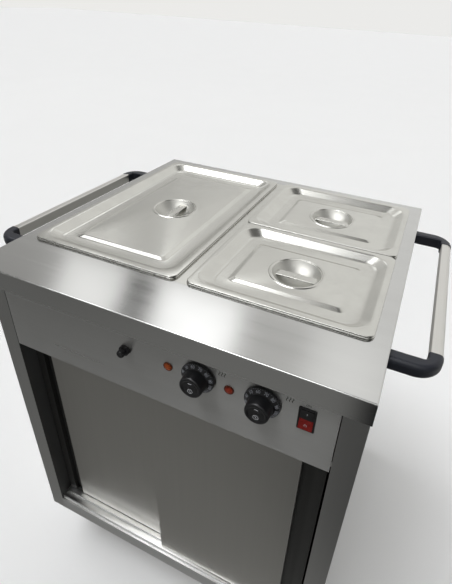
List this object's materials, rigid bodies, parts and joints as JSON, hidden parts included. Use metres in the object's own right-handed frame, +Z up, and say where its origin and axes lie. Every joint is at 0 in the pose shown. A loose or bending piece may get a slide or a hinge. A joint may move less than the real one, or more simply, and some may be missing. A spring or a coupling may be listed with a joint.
{
  "type": "hostess trolley",
  "caption": "Heated hostess trolley: lidded food pans let into the top, a cupboard with sliding doors, a dial panel, side push handles and castors.",
  "frame": {"origin": "on the floor, at the middle of the whole trolley's footprint", "axes": "+X to the right as seen from the control panel side, +Y to the back, +Z up"},
  "size_m": [0.87, 0.697, 0.9055],
  "materials": {
    "stainless_top": "brushed stainless steel",
    "stainless_ware": "satin stainless steel",
    "stainless_body": "brushed stainless steel",
    "stainless_doors": "brushed stainless steel",
    "stainless_inside": "plain stainless steel",
    "track": "mill aluminium",
    "handle_tube": "satin anodised",
    "black_gloss": "gloss black",
    "dial_black": "satin black",
    "rocker_red": "black upper half, red lower half",
    "light_orange": "translucent orange",
    "light_red": "translucent red",
    "dark_fitting": "moulded, dark",
    "pale_fitting": "moulded, pale",
    "chrome_collar": "bright",
    "heater": "heat-dulled sheath",
    "zinc": "bright zinc plated",
    "pedal_steel": "black",
    "wheel_rubber": "grey tread"
  },
  "bodies": {
    "cabinet": {"top_plate": "stainless_top", "well_tank": "stainless_inside", "divider_bar": "stainless_top", "left_side_panel": "stainless_body", "right_side_panel": "stainless_body", "back_panel": "stainless_body", "base_tray": "stainless_body", "control_panel": "stainless_body", "upper_door_track": "track", "lower_door_track": "track", "cupboard_liner": "stainless_inside", "shelf_supports": "stainless_inside", "cupboard_shelf": "stainless_inside", "well_element": "heater", "cupboard_element": "heater", "well_thermostat": "dark_fitting", "cupboard_thermostat": "dark_fitting", "well_light": "light_orange", "cupboard_light": "light_red", "switch_housing": "black_gloss", "reset_cutout": "chrome_collar", "terminal_block": "pale_fitting", "cable_gland": "dark_fitting", "left_handle_bar": "handle_tube", "right_handle_bar": "handle_tube", "left_front_bracket": "black_gloss", "left_rear_bracket": "black_gloss", "right_front_bracket": "black_gloss", "right_rear_bracket": "black_gloss", "handle_screws": "zinc", "castor_plates": "zinc", "back_rivets": "track"},
    "full_pan": {"full_pan": "stainless_ware"},
    "full_lid": {"full_lid": "stainless_ware", "full_lid_grip": "stainless_ware"},
    "front_half_pan": {"front_half_pan": "stainless_ware"},
    "front_half_lid": {"front_half_lid": "stainless_ware", "front_half_lid_grip": "stainless_ware"},
    "rear_half_pan": {"rear_half_pan": "stainless_ware"},
    "rear_half_lid": {"rear_half_lid": "stainless_ware", "rear_half_lid_grip": "stainless_ware"},
    "left_door": {"left_door": "stainless_doors", "left_door_glides": "pale_fitting"},
    "right_door": {"right_door": "stainless_doors", "right_door_glides": "pale_fitting"},
    "well_dial": {"well_dial": "dial_black"},
    "cupboard_dial": {"cupboard_dial": "dial_black"},
    "switch_rocker": {"switch_rocker": "rocker_red"},
    "reset_button": {"reset_button": "dial_black"},
    "front_left_fork": {"front_left_fork": "zinc"},
    "front_left_wheel": {"front_left_wheel": "wheel_rubber"},
    "front_right_fork": {"front_right_fork": "zinc"},
    "front_right_wheel": {"front_right_wheel": "wheel_rubber"},
    "rear_left_fork": {"rear_left_fork": "zinc"},
    "rear_left_wheel": {"rear_left_wheel": "wheel_rubber"},
    "rear_right_fork": {"rear_right_fork": "zinc"},
    "rear_right_wheel": {"rear_right_wheel": "wheel_rubber"},
    "front_left_pedal": {"front_left_pedal": "pedal_steel"},
    "front_right_pedal": {"front_right_pedal": "pedal_steel"}
  },
  "joints": [
    {"name": "full_pan_lift", "type": "slide", "parent": "cabinet", "child": "full_pan", "axis": [0, 0, 1], "range_m": [0, 0.18]},
    {"name": "full_lid_lift", "type": "slide", "parent": "full_pan", "child": "full_lid", "axis": [0, 0, 1], "range_m": [0, 0.15]},
    {"name": "front_half_pan_lift", "type": "slide", "parent": "cabinet", "child": "front_half_pan", "axis": [0, 0, 1], "range_m": [0, 0.18]},
    {"name": "front_half_lid_lift", "type": "slide", "parent": "front_half_pan", "child": "front_half_lid", "axis": [0, 0, 1], "range_m": [0, 0.15]},
    {"name": "rear_half_pan_lift", "type": "slide", "parent": "cabinet", "child": "rear_half_pan", "axis": [0, 0, 1], "range_m": [0, 0.18]},
    {"name": "rear_half_lid_lift", "type": "slide", "parent": "rear_half_pan", "child": "rear_half_lid", "axis": [0, 0, 1], "range_m": [0, 0.15]},
    {"name": "left_door_slide", "type": "slide", "parent": "cabinet", "child": "left_door", "axis": [1, 0, 0], "range_m": [0, 0.3]},
    {"name": "right_door_slide", "type": "slide", "parent": "cabinet", "child": "right_door", "axis": [-1, 0, 0], "range_m": [0, 0.3]},
    {"name": "well_dial_turn", "type": "hinge", "parent": "cabinet", "child": "well_dial", "pos_m": [0.0933, -0.319, 0.8095], "axis": [0, 1, 0], "range_deg": [0, 270]},
    {"name": "cupboard_dial_turn", "type": "hinge", "parent": "cabinet", "child": "cupboard_dial", "pos_m": [0.203, -0.319, 0.8095], "axis": [0, 1, 0], "range_deg": [0, 270]},
    {"name": "switch_rock", "type": "hinge", "parent": "cabinet", "child": "switch_rocker", "pos_m": [0.2717, -0.316, 0.805], "axis": [1, 0, 0], "range_deg": [0, 14]},
    {"name": "reset_press", "type": "slide", "parent": "cabinet", "child": "reset_button", "axis": [0, 1, 0], "range_m": [0, 0.003], "stiffness_N_per_m": 300},
    {"name": "front_left_swivel", "type": "hinge", "parent": "cabinet", "child": "front_left_fork", "pos_m": [-0.275, -0.235, 0.115], "axis": [0, 0, 1], "continuous": true},
    {"name": "front_left_roll", "type": "hinge", "parent": "front_left_fork", "child": "front_left_wheel", "pos_m": [-0.275, -0.203, 0.05], "axis": [1, 0, 0], "continuous": true},
    {"name": "front_right_swivel", "type": "hinge", "parent": "cabinet", "child": "front_right_fork", "pos_m": [0.275, -0.235, 0.115], "axis": [0, 0, 1], "continuous": true},
    {"name": "front_right_roll", "type": "hinge", "parent": "front_right_fork", "child": "front_right_wheel", "pos_m": [0.275, -0.203, 0.05], "axis": [1, 0, 0], "continuous": true},
    {"name": "rear_left_swivel", "type": "hinge", "parent": "cabinet", "child": "rear_left_fork", "pos_m": [-0.275, 0.252, 0.115], "axis": [0, 0, 1], "continuous": true},
    {"name": "rear_left_roll", "type": "hinge", "parent": "rear_left_fork", "child": "rear_left_wheel", "pos_m": [-0.275, 0.284, 0.05], "axis": [1, 0, 0], "continuous": true},
    {"name": "rear_right_swivel", "type": "hinge", "parent": "cabinet", "child": "rear_right_fork", "pos_m": [0.275, 0.252, 0.115], "axis": [0, 0, 1], "continuous": true},
    {"name": "rear_right_roll", "type": "hinge", "parent": "rear_right_fork", "child": "rear_right_wheel", "pos_m": [0.275, 0.284, 0.05], "axis": [1, 0, 0], "continuous": true},
    {"name": "front_left_brake", "type": "hinge", "parent": "front_left_fork", "child": "front_left_pedal", "pos_m": [-0.275, -0.167, 0.096], "axis": [-1, 0, 0], "range_deg": [0, 20]},
    {"name": "front_right_brake", "type": "hinge", "parent": "front_right_fork", "child": "front_right_pedal", "pos_m": [0.275, -0.167, 0.096], "axis": [-1, 0, 0], "range_deg": [0, 20]}
  ]
}
